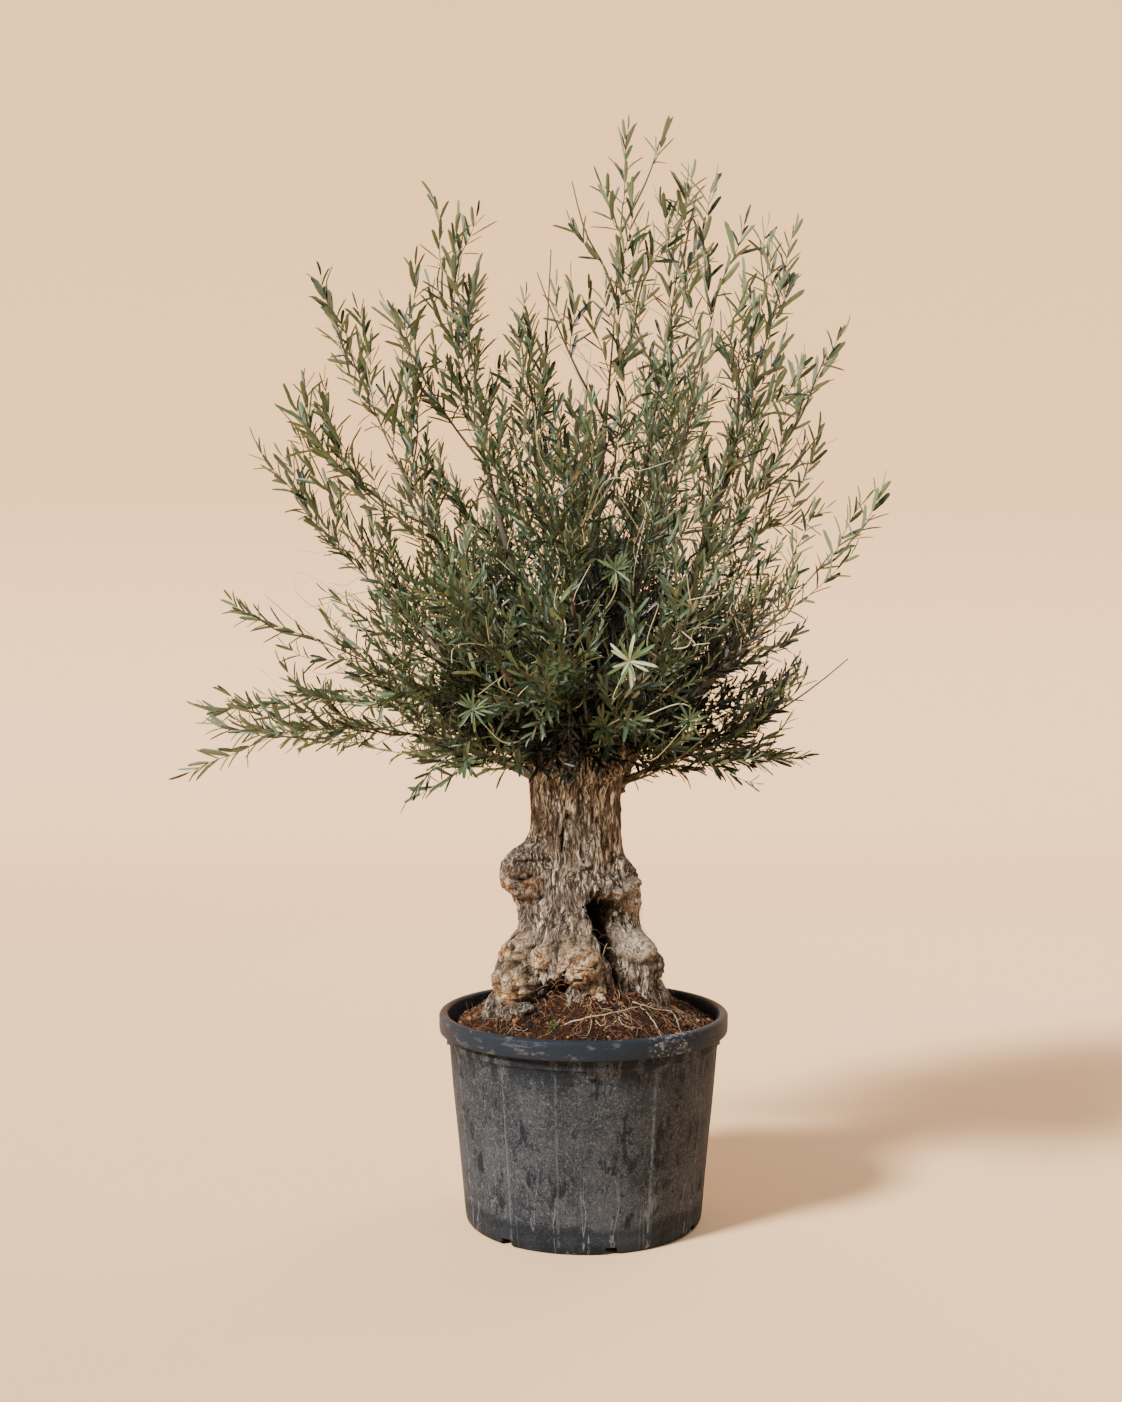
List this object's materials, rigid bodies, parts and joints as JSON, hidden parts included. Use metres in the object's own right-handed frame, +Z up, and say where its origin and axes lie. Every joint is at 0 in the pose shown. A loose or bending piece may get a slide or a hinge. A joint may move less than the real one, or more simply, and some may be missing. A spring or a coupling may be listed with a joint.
{
  "type": "potted olive tree",
  "caption": "Gnarled old olive tree with a burled, flaring trunk and an airy grey-green crown, in a round black nursery pot with a rolled rim.",
  "frame": {"origin": "centre of the pot's flat underside, on the pot's axis", "axes": "+Z up along the pot's axis; -Y the side the tree is looked at from; +X to the right"},
  "size_m": [1.4286, 1.2458, 2.2598],
  "materials": {
    "pot_plastic": "worn matte",
    "potting_soil": "matte",
    "bark": "rough",
    "leaves": "matte"
  },
  "bodies": {
    "root": {"pot": "pot_plastic", "soil": "potting_soil", "trunk": "bark", "bough_crown_top": "bark", "foliage_crown_top": "leaves", "foliage_top_right": "leaves", "foliage_right_spire": "leaves", "bough_outer_right_spire": "bark", "foliage_outer_right_spire": "leaves", "foliage_upper_right": "leaves", "bough_right": "bark", "foliage_right": "leaves", "foliage_low_right": "leaves", "foliage_right_skirt": "leaves", "foliage_under_right": "leaves", "foliage_centre_left": "leaves", "bough_front_high": "bark", "foliage_front_high": "leaves", "bough_left_spire": "bark", "foliage_left_spire": "leaves", "bough_upper_left": "bark", "foliage_upper_left": "leaves", "bough_left": "bark", "foliage_left": "leaves", "foliage_front_left_arm": "leaves", "bough_low_left": "bark", "foliage_low_left": "leaves", "foliage_left_skirt": "leaves", "foliage_drooping_left": "leaves", "foliage_under_left": "leaves", "bough_front_left": "bark", "foliage_front_left": "leaves", "foliage_front": "leaves", "bough_front_right": "bark", "foliage_front_right": "leaves", "foliage_low_front": "leaves", "bough_high_back_left": "bark", "foliage_high_back_left": "leaves", "bough_high_back_right": "bark", "foliage_high_back_right": "leaves", "foliage_high_back": "leaves", "bough_back": "bark", "foliage_back": "leaves", "foliage_back_left": "leaves", "foliage_back_right": "leaves", "foliage_low_back": "leaves"}
  },
  "joints": []
}
